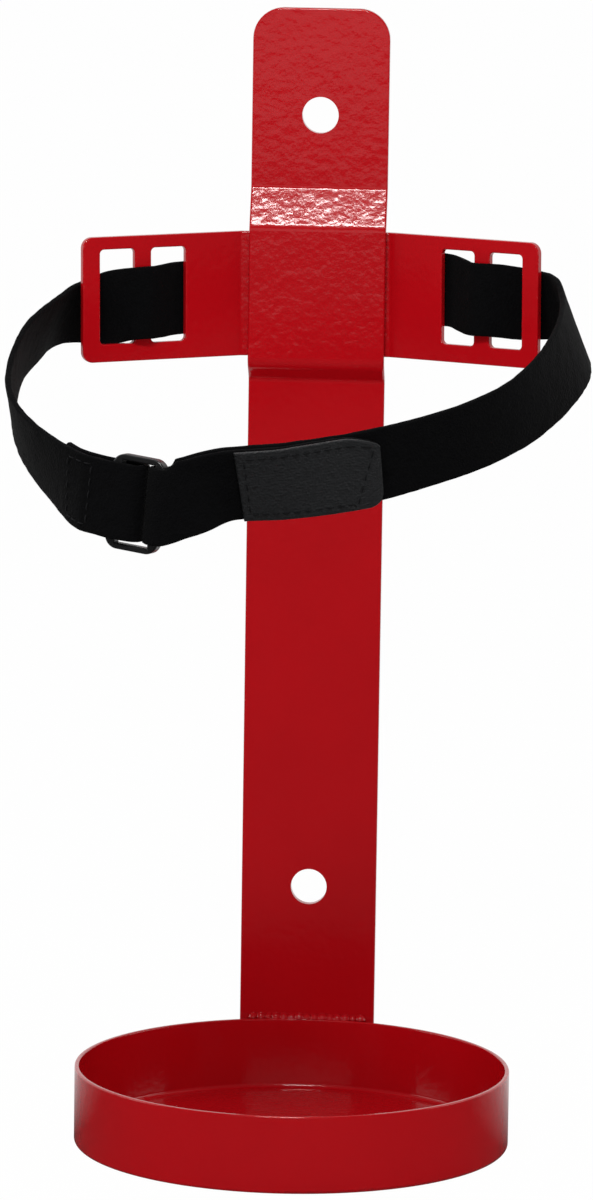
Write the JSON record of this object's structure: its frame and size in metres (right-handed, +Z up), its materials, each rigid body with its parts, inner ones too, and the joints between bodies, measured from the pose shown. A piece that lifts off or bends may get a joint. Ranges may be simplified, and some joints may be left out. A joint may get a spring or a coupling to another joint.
{
  "type": "fire extinguisher bracket",
  "caption": "Wall bracket for a portable fire extinguisher: painted steel strip with a round cup below and a hook-and-loop strap through a slotted cross plate.",
  "frame": {"origin": "middle of the underside of the cup", "axes": "+X right as the bracket is seen, +Y to the wall, +Z up"},
  "size_m": [0.1558, 0.1452, 0.3036],
  "materials": {
    "red_paint": "gloss",
    "black_webbing": "matt",
    "hook_cloth": "matt",
    "black_plastic": "satin"
  },
  "bodies": {
    "root": {"back_plate": "red_paint", "cradle_plate": "red_paint", "cup": "red_paint", "rim_weld": "red_paint", "strap": "black_webbing", "hook_tape": "hook_cloth", "ring_buckle": "black_plastic"}
  },
  "joints": []
}
